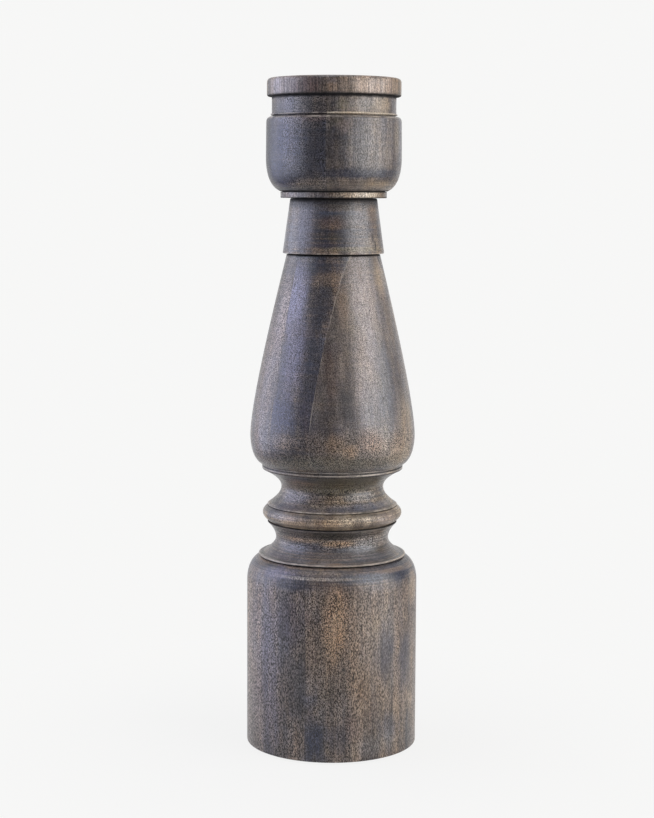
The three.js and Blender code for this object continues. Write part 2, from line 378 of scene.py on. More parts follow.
def patch_group():
    """Broad uneven patches of the wash, its drift in hue, and a ragged edge for stains."""
    group, given, result = new_group("wash_patches", {"Place": "Vector"},
                                     {"Patch": "Float", "Hue": "Float", "Ragged": "Float", "Tint": "Color"})
    place = given["Place"]
    patch = noise(group, place, scale=(40, 40, 18), detail=4, roughness=0.55, distortion=0.5)
    hue = noise(group, place, scale=(27, 27, 16), detail=2, roughness=0.5)
    ragged = noise(group, place, scale=(170, 170, 65), detail=5, roughness=0.68)
    drift = noise(group, place, scale=(110, 110, 36), detail=3, roughness=0.6)
    tint = node(group, "ShaderNodeCombineColor", {"Red": swing(group, drift, 0.35, 1.0),
                                                  "Green": swing(group, ragged, 0.12, 1.0),
                                                  "Blue": swing(group, drift, -0.45, 1.0)}).outputs[0]
    group.links.new(remap(group, patch, 0.3, 0.7), result["Patch"])
    group.links.new(remap(group, hue, 0.3, 0.7), result["Hue"])
    group.links.new(ragged, result["Ragged"])
    group.links.new(tint, result["Tint"])
    return group


def lathe_group():
    """Fine rings that the tool left round the turning, and longer wipes and smears of the cloth."""
    group, given, result = new_group("lathe_marks", {"Place": "Vector"},
                                     {"Ring": "Float", "Wipe": "Float", "Smear": "Float"})
    place = given["Place"]
    ring = noise(group, place, scale=(9, 9, 1400), detail=3, roughness=0.65)
    wipe = noise(group, place, scale=(30, 30, 480), detail=4, roughness=0.65)
    smear = noise(group, place, scale=(70, 70, 420), detail=4, roughness=0.65)
    group.links.new(remap(group, ring, 0.32, 0.68), result["Ring"])
    group.links.new(remap(group, wipe, 0.3, 0.7), result["Wipe"])
    group.links.new(swing(group, smear, 0.6, 0.5), result["Smear"])
    return group


def lay_group():
    """How far round from the front, how far out and how high a point of the turning lies."""
    group, given, result = new_group("turned_lay", {"Place": "Vector"}, {"Lay": "Vector"})
    place = node(group, "ShaderNodeSeparateXYZ", {0: given["Place"]}).outputs
    turn = calc(group, "ARCTAN2", place["X"], times(group, place["Y"], -1.0))
    level = node(group, "ShaderNodeCombineXYZ", {"X": place["X"], "Y": place["Y"]}).outputs[0]
    out = length(group, level)
    lay = node(group, "ShaderNodeCombineXYZ", {"X": turn, "Y": out, "Z": place["Z"]}).outputs[0]
    group.links.new(lay, result["Lay"])
    return group


# Raggedness of a stain, and the share of its width where it ends and where it has its full strength
STAIN_RAGGED = 1.1
STAIN_END = 1.45
STAIN_CORE = 0.35


def stain_group():
    """One soft spot with a ragged edge at a turn and a height, and once more on the far side."""
    group, given, result = new_group("wash_stain", {"Lay": "Vector", "Turn": "Float", "Height": "Float",
                                                    "Width": "Float", "Tall": "Float", "Ragged": "Float"},
                                     {"Mask": "Float"})
    lay = node(group, "ShaderNodeSeparateXYZ", {0: given["Lay"]}).outputs
    aside = calc(group, "WRAP", calc(group, "SUBTRACT", lay["X"], given["Turn"]), pi / 2, -pi / 2)
    across = calc(group, "DIVIDE", times(group, aside, lay["Y"]), given["Width"])
    along = calc(group, "DIVIDE", calc(group, "SUBTRACT", lay["Z"], given["Height"]), given["Tall"])
    far = length(group, node(group, "ShaderNodeCombineXYZ", {"X": across, "Y": along}).outputs[0])
    ragged = swing(group, given["Ragged"], STAIN_RAGGED, far)
    group.links.new(remap(group, ragged, STAIN_END, STAIN_CORE), result["Mask"])
    return group


GRAIN = grain_group()
PATCHES = patch_group()
LATHE = lathe_group()
LAY = lay_group()
STAIN = stain_group()


def use(tree, group, **inputs):
    return node(tree, "ShaderNodeGroup", inputs, node_tree=group).outputs


def new_material(name):
    material = bpy.data.materials.new(name)
    material.use_nodes = True
    tree = material.node_tree
    shader = tree.nodes["Principled BSDF"].inputs
    place = node(tree, "ShaderNodeTexCoord").outputs["Object"]
    return material, tree, shader, place


# Colours of the wash
INK = srgb(36, 37, 43)
NIGHT = srgb(32, 38, 54)
DEEP_BLUE = srgb(47, 53, 82)
STEEL = srgb(64, 70, 82)
VIOLET = srgb(55, 50, 60)
PURPLE_BLUE = srgb(62, 62, 80)
SLATE = srgb(76, 77, 86)
LILAC = srgb(96, 93, 108)
# Blue lilac is a bluish wash that also paints the left soft box's sheen
BLUE_LILAC_AND_SHEEN = srgb(93, 91, 113)
BLUE_SLATE = srgb(82, 86, 98)
SMOKE = srgb(112, 110, 110)
# Painted sheen of the left soft box
PAINTED_LILAC_SHEEN = srgb(114, 111, 130)
PALE_SLATE = srgb(140, 137, 146)

# Colours of the wood where the wash is thin
# Soot is also painted shade under the rim, on the fillet and under the bead
SOOT_AND_SHADE = srgb(38, 35, 29)
OLIVE = srgb(74, 68, 54)
MOSS = srgb(120, 113, 90)
DARK_BROWN = srgb(60, 52, 47)
MAROON = srgb(76, 60, 56)
UMBER = srgb(86, 75, 65)
BARE_BROWN = srgb(116, 98, 80)
RUST = srgb(110, 86, 70)
GOLD_BROWN = srgb(144, 119, 93)
GREY_BROWN = srgb(122, 111, 101)
BRIGHT_BROWN = srgb(124, 109, 96)
PINK_BROWN = srgb(134, 119, 113)
PINK_GREY = srgb(152, 142, 142)
PINK_TAN = srgb(172, 152, 138)
TAN = srgb(156, 140, 119)
# Cream also paints highlights on the beads
CREAM_AND_GLINT = srgb(188, 174, 152)
# Pale worn arrises and glue lines, also painted highlights along edges
PALE_LINE_AND_GLINT = srgb(176, 166, 154)

# Colours of pores, and of grime, cracks and painted shade in corners, joints and under overhangs
PORE_BLACK = srgb(26, 25, 28)
PORE_BROWN = srgb(46, 30, 20)
GRIME_AND_SHADE = srgb(16, 15, 17)

# Colours of pan, felt and dowels
IRON_DARK = srgb(30, 29, 30)
IRON_PALE = srgb(62, 59, 57)
FELT_DARK = srgb(34, 32, 32)
FELT_PALE = srgb(70, 66, 64)
BEECH_DARK = srgb(190, 156, 112)
BEECH_PALE = srgb(216, 186, 144)
BEECH_PORE = srgb(150, 112, 76)

# Cover of the wash in its own blue stains, and in the brown ones where it is rubbed through
THICK = 0.8
THIN = 0.45

# Shift in the grain for each unit of a section's start, and the axis about which its grain leans
GRAIN_SHIFT = Vector((0.37, 0.21, 0.13))
GRAIN_LEAN = Vector((1.0, 0.6, 0.0))

# How open the grain is on bare wood, and what a full wash, deep rings and patches change of it
OPEN_BARE = 1.1
OPEN_LOST_TO_WASH = 0.7
OPEN_LOST_TO_RINGS = 0.7
OPEN_PATCHY = 0.5

# Depth of shade in the rings, share of black in the pits, and how pale the raised grain is rubbed
RING_SHADE = 0.8
PIT_BLACK = 0.8
RUBBED_BARE = 0.45
RUBBED_LOST_TO_WASH = 0.35

# Share of a line's width that has its full strength, where in the ragged noise a line breaks up and is whole,
# and the width of a glue line and its core
LINE_CORE = 0.2
LINE_BREAKS = 0.42
LINE_WHOLE = 0.6
SEAM_WIDTH = 0.4
SEAM_CORE = 0.1

# Roughness of bare wood, what wash and flecks take from it, and roughness of the grime and painted shade in
# the corners
ROUGH = 0.46
ROUGH_LOST_TO_WASH = 0.1
ROUGH_LOST_TO_FLECKS = 0.12
MATT = 0.85

# Sheen of a full film on bare wood, what a full wash adds to it, what the pores take from it, its roughness,
# and the gloss of the wood below
SHEEN_BARE = 0.4
SHEEN_OF_WASH = 0.9
SHEEN_LOST_TO_PORES = 0.6
SHEEN_ROUGHNESS = 0.3
GLOSS = 0.4

# Relief of flecks and pores beside the lathe's rings
FLECK_RELIEF = 0.5
PORE_RELIEF = 0.7
WOOD_BUMP = 0.25
WOOD_BUMP_DEPTH = 0.3 * MM

# A stain's turn is in degrees from the front towards the right, a seam's is that of its blank, in radians.
# Heights, offsets and the half widths and half heights of marks are in millimetres.
Stain = namedtuple("Stain", "turn height width tall colour strength")
Line = namedtuple("Line", "height width colour strength broken")
Seam = namedtuple("Seam", "turn offset colour strength")


def worn_and_glinting(height, width=0.5, strength=0.5, broken=0.9):
    """A pale arris, rubbed through here and there, that is also a painted highlight along the edge."""
    return Line(height, width, PALE_LINE_AND_GLINT, strength, broken)


def pooled_wash_and_shade(height, width=0.8, strength=0.9):
    """Wash that gathered in a corner, darkened further with painted shade in corners, joints and under
    overhangs.
    """
    return Line(height, width, GRIME_AND_SHADE, strength, broken=0.15)


def washed_wood(name, start, foot, tall, cover, rings, stains, lines, seam=None, lean=0.0,
                brown=(DARK_BROWN, BARE_BROWN), wash=(INK, SLATE), patchy=0.35, streaky=0.3, wiped=0.3,
                mottled=0.6, thread=0.3, speckle=1.4, flecked=((0.0, 1.0), (1.0, 1.0)), pores=0.6, dashed=1.0,
                film=0.8, smeared=False):
    """Brown wood under a dark wash that is rubbed through in places.

    start picks a section's own stretch of grain, lean tilts it and dashed draws it out along Z.
    cover, rings and flecked give the thickness of the wash, the depth of the lathe's rings and the share of
    the speckle that shows, from foot to top. Stains are spots of another colour at a turn from the front and
    a height, smeared round the turning or ragged along the grain; a few of them paint sheen and a few paint
    shade. Lines go round at a height: pale worn arrises that are also painted highlights, and dark lines of
    grime and painted shade in corners, joints and under overhangs, which are matt. seam is a glue line that
    shows between two boards. film is how much of the wash dried to a sheen on top of it.
    """
    material, tree, shader, place = new_material(name)
    moved = node(tree, "ShaderNodeMapping", {"Vector": place, "Rotation": GRAIN_LEAN * lean,
                                             "Location": GRAIN_SHIFT * start}).outputs[0]
    drawn = node(tree, "ShaderNodeMapping", {"Vector": moved, "Scale": (1, 1, 1 / dashed)}).outputs[0]
    grain = use(tree, GRAIN, Place=drawn)
    patches = use(tree, PATCHES, Place=moved)
    lathe = use(tree, LATHE, Place=place)
    lay = use(tree, LAY, Place=place)["Lay"]
    height = node(tree, "ShaderNodeSeparateXYZ", {0: place}).outputs["Z"]
    up = remap(tree, height, foot * MM, (foot + tall) * MM, kind="LINEAR")
    rings_at = ramp(tree, up, rings)

    # How thick the wash lies
    coat = swing(tree, patches["Patch"], patchy, ramp(tree, up, cover))
    coat = swing(tree, grain["Streak"], -streaky, coat)
    coat = swing(tree, lathe["Wipe"], wiped, coat)
    coat = swing(tree, patches["Ragged"], -mottled, coat)
    ring = times(tree, calc(tree, "SUBTRACT", lathe["Ring"], 0.5), rings_at)
    coat = calc(tree, "ADD", coat, ring, clamp=True)

    # Wood, wash and stains
    wood = mixed(tree, grain["Streak"], *brown)
    colour = mixed(tree, coat, wood, mixed(tree, patches["Hue"], *wash))
    edge = lathe["Smear"] if smeared else patches["Ragged"]
    for stain in stains:
        mask = use(tree, STAIN, Lay=lay, Turn=radians(stain.turn), Height=stain.height * MM,
                   Width=stain.width * MM, Tall=stain.tall * MM, Ragged=edge)["Mask"]
        share = times(tree, mask, stain.strength)
        colour = mixed(tree, share, colour, stain.colour)
        red, _, blue, _ = stain.colour
        coat = blended(tree, share, coat, THICK if blue > red else THIN)
    colour = mixed(tree, 1.0, colour, patches["Tint"], "MULTIPLY")

    # Flecks, threads, rings, pores, pits and rubbed grain
    open_grain = times(tree, ramp(tree, up, flecked), scaled(tree, rings_at, -OPEN_LOST_TO_RINGS, 1.0))
    open_grain = times(tree, open_grain, swing(tree, patches["Patch"], OPEN_PATCHY, 1.0))
    bare = times(tree, scaled(tree, coat, -OPEN_LOST_TO_WASH, OPEN_BARE), open_grain)
    fleck = swing(tree, grain["Fleck"], times(tree, bare, speckle), 1.0)
    strand = swing(tree, grain["Thread"], thread, 1.0)
    tooled = scaled(tree, ring, -RING_SHADE, 1.0)
    marks = times(tree, times(tree, fleck, strand), tooled)
    colour = mixed(tree, 1.0, colour, marks, "MULTIPLY")
    pore = times(tree, times(tree, grain["Pore"], bare), pores)
    colour = mixed(tree, pore, colour, mixed(tree, coat, PORE_BROWN, PORE_BLACK))
    colour = mixed(tree, times(tree, grain["Pit"], PIT_BLACK), colour, PORE_BLACK)
    rubbed = times(tree, grain["Rubbed"], scaled(tree, coat, -RUBBED_LOST_TO_WASH, RUBBED_BARE))
    colour = mixed(tree, rubbed, colour, mixed(tree, coat, TAN, PALE_SLATE))

    # Worn edges that are partly painted highlights, grime and painted shade in the corners, and the glue line
    broken = remap(tree, patches["Ragged"], LINE_BREAKS, LINE_WHOLE)
    out_of_grime_and_shade = 1.0
    for line in lines:
        near = distance(tree, height, line.height)
        mask = remap(tree, near, line.width * MM, LINE_CORE * line.width * MM)
        left = remap(tree, broken, 0, 1, (1 - line.broken) * line.strength, line.strength, kind="LINEAR")
        share = times(tree, mask, left)
        colour = mixed(tree, share, colour, line.colour)
        # Lines of grime and painted shade are matt
        if line.colour == GRIME_AND_SHADE:
            out_of_grime_and_shade = times(tree, out_of_grime_and_shade, calc(tree, "SUBTRACT", 1.0, share))
    if seam:
        across = node(tree, "ShaderNodeVectorMath", {0: place, 1: (cos(seam.turn), sin(seam.turn), 0)},
                      operation="DOT_PRODUCT").outputs["Value"]
        near = distance(tree, across, seam.offset)
        mask = times(tree, remap(tree, near, SEAM_WIDTH * MM, SEAM_CORE * MM), broken)
        colour = mixed(tree, times(tree, mask, seam.strength), colour, seam.colour)
    tree.links.new(colour, shader["Base Color"])

    # Gloss and relief
    rough = scaled(tree, grain["Fleck"], -ROUGH_LOST_TO_FLECKS, ROUGH)
    rough = scaled(tree, coat, -ROUGH_LOST_TO_WASH, rough)
    tree.links.new(blended(tree, out_of_grime_and_shade, MATT, rough), shader["Roughness"])
    filled = scaled(tree, grain["Pore"], -SHEEN_LOST_TO_PORES, grain["Fleck"], clamp=True)
    sheen = times(tree, scaled(tree, coat, SHEEN_OF_WASH * film, SHEEN_BARE * film), out_of_grime_and_shade)
    tree.links.new(times(tree, filled, sheen), shader["Coat Weight"])
    shader["Coat Roughness"].default_value = SHEEN_ROUGHNESS
    shader["Specular IOR Level"].default_value = GLOSS
    fine = scaled(tree, grain["Fleck"], FLECK_RELIEF, ring)
    bumped(tree, shader, scaled(tree, grain["Pore"], -PORE_RELIEF, fine), WOOD_BUMP, WOOD_BUMP_DEPTH)
    return material


def base_finishes():
    cover = [(0.0, 0.5), (0.12, 0.42), (0.85, 0.36), (0.93, 0.65), (0.97, 0.75), (1.0, 0.65)]
    rings = [(0.0, 0.0), (0.88, 0.0), (0.93, 0.5), (1.0, 0.7)]
    left = [Stain(-62, 60, 9, 50, PINK_BROWN, 0.35), Stain(-47, 51, 9, 55, LILAC, 0.38),
            Stain(-29, 84, 8, 17, VIOLET, 0.5), Stain(-23, 47, 5.5, 26, INK, 0.65),
            Stain(-14, 70, 6, 18, DARK_BROWN, 0.4), Stain(-14, 37, 4, 4.5, STEEL, 0.35),
            Stain(-5, 42, 4, 4, OLIVE, 0.35)]
    right = [Stain(46, 68, 16, 40, GREY_BROWN, 0.25), Stain(2, 84, 7, 25, GOLD_BROWN, 0.65),
             Stain(18, 66, 9, 44, BARE_BROWN, 0.5), Stain(4, 48, 9, 20, UMBER, 0.4),
             Stain(38, 65, 7, 17, NIGHT, 0.7), Stain(57, 60, 6, 20, NIGHT, 0.75),
             Stain(66, 32, 5, 6, TAN, 0.3)]
    foot = [Stain(41, 19, 8, 9, STEEL, 0.5), Stain(34, 10, 14, 7, SMOKE, 0.32),
            Stain(14, 22, 5, 9, MAROON, 0.4), Stain(4, 15, 7, 10, NIGHT, 0.6),
            Stain(-22, 14, 3, 9, UMBER, 0.4)]
    # On the left of the shoulder, blue lilac paints the soft box's sheen over the wash, and the pale line
    # across the shoulder is partly a painted highlight
    shoulder = [Stain(-40, 111, 12, 3.6, BLUE_LILAC_AND_SHEEN, 0.6), Stain(-28, 106, 13, 3.4, NIGHT, 0.7),
                Stain(24, 110.3, 19, 3, STEEL, 0.9), Stain(52, 109.4, 10, 3.6, NIGHT, 0.95),
                Stain(71, 99, 8, 9, TAN, 0.45), Stain(-8, 109.4, 19, 3.7, INK, 0.45),
                Stain(50, 112.6, 12, 1.2, BARE_BROWN, 0.4), Stain(-11, 110.4, 24, 0.8, PALE_LINE_AND_GLINT, 0.45)]
    third_board = [Stain(-11, 14, 7, 14, NIGHT, 0.85)]
    stains = left + right + foot + shoulder
    stains_of = [stains, stains, stains + third_board, stains]
    # Grime and painted shade where the spool sits on the base
    lines = [pooled_wash_and_shade(BASE_Z + BASE_HEIGHT, 0.3)]
    seam = Seam(BASE_TURN, 0, INK, 0.6)
    speckles = [3.0, 3.0, 2.4, 1.7]
    dashes = [2.2, 2.2, 1.7, 2.3]
    return [washed_wood(f"base_wash_{n + 1}", 1.3, BASE_Z, BASE_HEIGHT, cover, rings, stains_of[n], lines,
                        seam, lean=0.02, brown=(UMBER, BRIGHT_BROWN), wiped=0.1, thread=0.5,
                        speckle=speckles[n], pores=1.0, dashed=dashes[n], film=0.2)
            for n in range(BOARD_COUNT)]


def vase_finishes():
    cover = [(0.0, 0.5), (0.05, 0.5), (0.14, 0.4), (0.27, 0.6), (0.75, 0.7), (0.88, 0.5), (0.93, 0.7),
             (1.0, 0.8)]
    thin_cover = [(0.0, 0.55), (0.05, 0.55), (0.14, 0.4), (0.27, 0.56), (0.75, 0.48), (1.0, 0.55)]
    rings = [(0.0, 0.6), (0.03, 0.4), (0.06, 0.1), (0.8, 0.05), (0.9, 0.3), (1.0, 0.2)]
    belly = [Stain(-2, 177.5, 46, 5.5, OLIVE, 0.75), Stain(-36, 182, 14, 5, INK, 0.22),
             Stain(-36, 190, 9, 4.4, BARE_BROWN, 0.4), Stain(-13, 189, 8, 6, UMBER, 0.45),
             Stain(2, 189.5, 6, 6, BARE_BROWN, 0.5), Stain(12, 185.5, 6, 4, GOLD_BROWN, 0.42),
             Stain(27, 191, 8, 7, RUST, 0.6), Stain(-50, 192, 8, 12, SLATE, 0.5)]
    edge = [Stain(-62, 225, 9, 55, PINK_BROWN, 0.4), Stain(-53, 262, 6, 16, PINK_GREY, 0.4)]
    # On the left, pale lilac is a painted sheen of the left soft box, and blue lilac a bluish wash with
    # painted sheen
    left = [Stain(-42, 289, 8, 4.5, PURPLE_BLUE, 0.5), Stain(-10, 292, 10, 4, NIGHT, 0.35),
            Stain(-4, 284, 10, 4, BARE_BROWN, 0.45), Stain(-40, 272, 7.5, 19, PAINTED_LILAC_SHEEN, 0.9),
            Stain(-34, 238, 8, 24, BLUE_LILAC_AND_SHEEN, 0.7), Stain(-40, 205, 12, 12, DEEP_BLUE, 0.7),
            Stain(-12, 268, 9, 14, INK, 0.5), Stain(-16, 235, 7, 22, INK, 0.5),
            Stain(-18, 207, 8, 11, VIOLET, 0.5)]
    right = [Stain(32, 265, 9, 26, PINK_GREY, 0.4), Stain(27, 223, 8, 28, PINK_GREY, 0.35),
             Stain(10, 268, 3.5, 11, BARE_BROWN, 0.5), Stain(-1, 229, 5, 16, MAROON, 0.35),
             Stain(9, 214, 5.5, 14, INK, 0.65), Stain(44, 224, 5.5, 26, STEEL, 0.7),
             Stain(46, 208, 4, 9, NIGHT, 0.4), Stain(33, 212, 8, 16, STEEL, 0.5),
             Stain(65, 199, 10, 18, TAN, 0.42), Stain(47, 189, 7, 6, BARE_BROWN, 0.5),
             Stain(56, 180, 14, 7, TAN, 0.45), Stain(62, 285, 7, 11, TAN, 0.38),
             Stain(53, 263, 5, 9, SLATE, 0.35)]
    sides = [edge, edge, left, right]
    covers = [thin_cover, thin_cover, cover, thin_cover]
    browns = [(DARK_BROWN, GREY_BROWN), (DARK_BROWN, GREY_BROWN), (DARK_BROWN, BARE_BROWN),
              (UMBER, GREY_BROWN)]
    speckles = [4.2, 4.2, 4.2, 3.2]
    over_belly = [0.72, 0.72, 0.68, 0.5]
    streaks = [0.3, 0.3, 0.2, 0.15]
    wipes = [0.3, 0.3, 0.5, 0.2]
    # Round the fillet: soot and painted shade over it, pale worn edges that are also painted highlights, and
    # grime with painted shade between them, at the joint and under the collar
    lines = [Line(VASE_Z + 1.5, 2.2, SOOT_AND_SHADE, 0.6, 0.3), worn_and_glinting(VASE_Z + 1.1, 0.5, 0.9, 0.6),
             pooled_wash_and_shade(VASE_Z + 2.1, 0.45, 0.8), worn_and_glinting(VASE_Z + 2.9, 0.4, 0.7, 0.8), pooled_wash_and_shade(VASE_Z, 0.4),
             pooled_wash_and_shade(VASE_Z + VASE_HEIGHT, 1.0)]
    seam = Seam(VASE_TURN, BOARD, PALE_LINE_AND_GLINT, 0.42)
    return [washed_wood(f"vase_wash_{n + 1}", 6.1 + n, VASE_Z, VASE_HEIGHT, covers[n], rings,
                        sides[n] + belly, lines, seam, lean=0.06 * (n - 1.5), brown=browns[n],
                        streaky=streaks[n], wiped=wipes[n], speckle=speckles[n],
                        flecked=[(0.0, 1.0), (0.16, 1.0), (0.26, over_belly[n]), (1.0, over_belly[n])],
                        film=0.6)
            for n in range(BOARD_COUNT)]


def cup_finishes():
    cover = [(0.0, 0.35), (0.1, 0.35), (0.17, 0.8), (0.7, 0.78), (0.79, 0.55), (0.82, 0.75), (1.0, 0.7)]
    thin_cover = [(0.0, 0.35), (0.1, 0.35), (0.17, 0.75), (0.3, 0.66), (0.76, 0.62), (0.79, 0.4), (1.0, 0.5)]
    rings = [(0.0, 0.8), (0.12, 0.5), (0.25, 0.1), (0.75, 0.1), (0.8, 0.3), (1.0, 0.2)]
    flecked = [(0.0, 0.8), (0.78, 0.8), (0.84, 0.7)]
    middle = [Stain(-17, 357, 11, 19, INK, 0.6), Stain(-16, 376.5, 9, 2.4, MAROON, 0.45),
              Stain(-20, 384.5, 12, 4, SOOT_AND_SHADE, 0.5), Stain(8, 338.9, 30, 2.4, UMBER, 0.5),
              Stain(46, 339, 12, 2, TAN, 0.45)]
    # At the far left, night blue and ink paint shade on the side that the left soft box grazes
    left = [Stain(-45, 364, 14, 12, DEEP_BLUE, 0.5), Stain(-54, 345, 12, 7, DEEP_BLUE, 0.75),
            Stain(-46, 376, 13, 2.6, LILAC, 0.4), Stain(-58, 351, 14, 1.6, NIGHT, 0.4),
            Stain(-46, 344, 13, 5, INK, 0.7), Stain(-66, 360, 8, 22, NIGHT, 0.7),
            Stain(-82, 360, 9, 25, INK, 0.9), Stain(-48, 385, 6, 4, LILAC, 0.4),
            Stain(-64, 385, 5, 4, SMOKE, 0.35)]
    # The cream line round the neck bead is a painted highlight
    right = [Stain(-1, 357, 7, 18, INK, 0.3), Stain(22, 360, 10, 13, SMOKE, 0.25),
             Stain(48, 355, 7, 10, GREY_BROWN, 0.3), Stain(1, 375, 5, 2.5, OLIVE, 0.4),
             Stain(8, 372, 4, 3.2, PINK_BROWN, 0.3), Stain(24, 345.5, 28, 3.4, NIGHT, 0.8),
             Stain(8, 384.6, 4, 3.7, MOSS, 0.35), Stain(25, 384.7, 7, 4, SMOKE, 0.4),
             Stain(50, 385, 8, 5, TAN, 0.6), Stain(66, 366, 5, 12, TAN, 0.3),
             Stain(24, 379.5, 32, 0.9, CREAM_AND_GLINT, 0.8)]
    sides = [left, left, right, right]
    covers = [cover, cover, thin_cover, thin_cover]
    starts = [11.7, 11.7, 13.7, 13.7]
    threads = [0.2, 0.2, 0.5, 0.5]
    dashes = [1.0, 1.0, 1.8, 1.8]
    smears = [True, True, False, False]
    films = [0.15, 0.5, 0.7, 0.7]
    speckles = [4.0, 6.0, 2.0, 2.0]
    # Worn edges of the neck bead and shoulder are partly painted highlights; grime and painted shade in the
    # groove, under the rim and at the foot
    lines = [worn_and_glinting(CUP_Z + 44.8, 0.4, 0.8), worn_and_glinting(CUP_Z + 42.9, 0.7, 0.5), pooled_wash_and_shade(CUP_Z + 43.9, 0.3),
             pooled_wash_and_shade(CUP_Z + CUP_HEIGHT, 1.8, 1.0), pooled_wash_and_shade(CUP_Z, 1.1, 1.0)]
    seam = Seam(CUP_TURN, 0, GRIME_AND_SHADE, 0.8)
    return [washed_wood(f"cup_wash_{n + 1}", starts[n], CUP_Z, CUP_HEIGHT, covers[n], rings,
                        sides[n] + middle, lines, seam, lean=0.03, brown=(DARK_BROWN, GREY_BROWN),
                        streaky=0.2, thread=threads[n], speckle=speckles[n], flecked=flecked, pores=0.5,
                        dashed=dashes[n], film=films[n], smeared=smears[n])
            for n in range(BOARD_COUNT)]


def rim_finish():
    cover = [(0.0, 0.4), (0.2, 0.3), (1.0, 0.25)]
    rings = [(0.0, 0.2), (1.0, 0.1)]
    stains = [Stain(-49, 395.5, 14, 8, PINK_GREY, 0.72), Stain(-23, 394, 9.5, 7, MAROON, 0.85),
              Stain(-9, 394, 3.5, 6, UMBER, 0.5), Stain(-2, 394, 3.4, 3.4, GOLD_BROWN, 0.35),
              Stain(10, 394, 5, 6, BARE_BROWN, 0.4), Stain(29, 395, 9, 7, PINK_TAN, 0.6),
              Stain(52, 395, 9, 7, PINK_TAN, 0.5)]
    # Darker along the rim's lower edge: soot, grime and painted shade
    lines = [Line(RIM_Z, 2.4, SOOT_AND_SHADE, 0.5, 0.3), pooled_wash_and_shade(RIM_Z, 1.1, 1.0)]
    return washed_wood("rim_wash", 17.0, RIM_Z, RIM_HEIGHT, cover, rings, stains, lines, mottled=0.3,
                       thread=1.0, speckle=1.0, pores=0.4, dashed=1.6, film=0.4)


def foot_ring_finish():
    cover = [(0.0, 0.55), (1.0, 0.48)]
    rings = [(0.0, 0.1), (1.0, 0.1)]
    stains = [Stain(-52, 333, 9, 5, PINK_GREY, 0.2), Stain(-25, 333, 6, 5, GREY_BROWN, 0.45),
              Stain(-4, 333, 5, 5, UMBER, 0.45), Stain(31, 333, 18, 5, TAN, 0.5),
              Stain(36, 333, 10, 5, CREAM_AND_GLINT, 0.35)]
    # Grime and painted shade at the ring's lower and upper edges
    lines = [pooled_wash_and_shade(RING_Z, 0.9), pooled_wash_and_shade(RING_Z + RING_HEIGHT, 0.7, 1.0)]
    return washed_wood("foot_ring_wash", 19.0, RING_Z, RING_HEIGHT, cover, rings, stains, lines, thread=0.9,
                       speckle=1.6, pores=0.4, dashed=1.8)


def collar_finish():
    cover = [(0.0, 0.35), (0.08, 0.45), (0.2, 0.75), (0.85, 0.7), (1.0, 0.85)]
    rings = [(0.0, 0.6), (0.15, 0.3), (1.0, 0.2)]
    stains = [Stain(-55, 314, 6, 16, SMOKE, 0.3), Stain(-37, 314, 6, 15, LILAC, 0.45),
              Stain(-9, 323.6, 9, 3.2, STEEL, 0.35), Stain(-3, 316.5, 9, 3.6, RUST, 0.35),
              Stain(0, 308, 5, 2.2, OLIVE, 0.4), Stain(-8, 303.7, 8, 2.8, VIOLET, 0.5),
              Stain(35, 315, 10, 14, STEEL, 0.35), Stain(26, 317, 6, 3.4, GREY_BROWN, 0.2),
              Stain(57, 321, 7, 6, BARE_BROWN, 0.4), Stain(53, 305, 7, 4.4, TAN, 0.25),
              Stain(32, 301.4, 22, 1.6, MOSS, 0.4), Stain(2, 326, 12, 2.4, UMBER, 0.5),
              Stain(52, 308, 0.8, 3, GRIME_AND_SHADE, 0.8), Stain(56, 303, 0.8, 3.5, GRIME_AND_SHADE, 0.8)]
    top = COLLAR_Z + COLLAR_HEIGHT
    # Grime and painted shadow under the disc, reaching 8 mm down the collar
    lines = [worn_and_glinting(COLLAR_Z + 0.5), pooled_wash_and_shade(top, 2.6, 1.0), pooled_wash_and_shade(top, 8, 0.55)]
    return washed_wood("collar_wash", 21.0, COLLAR_Z, COLLAR_HEIGHT, cover, rings, stains, lines, patchy=0.2,
                       streaky=0.1, wiped=0.6, thread=0.15, speckle=2.2, pores=0.4, smeared=True)


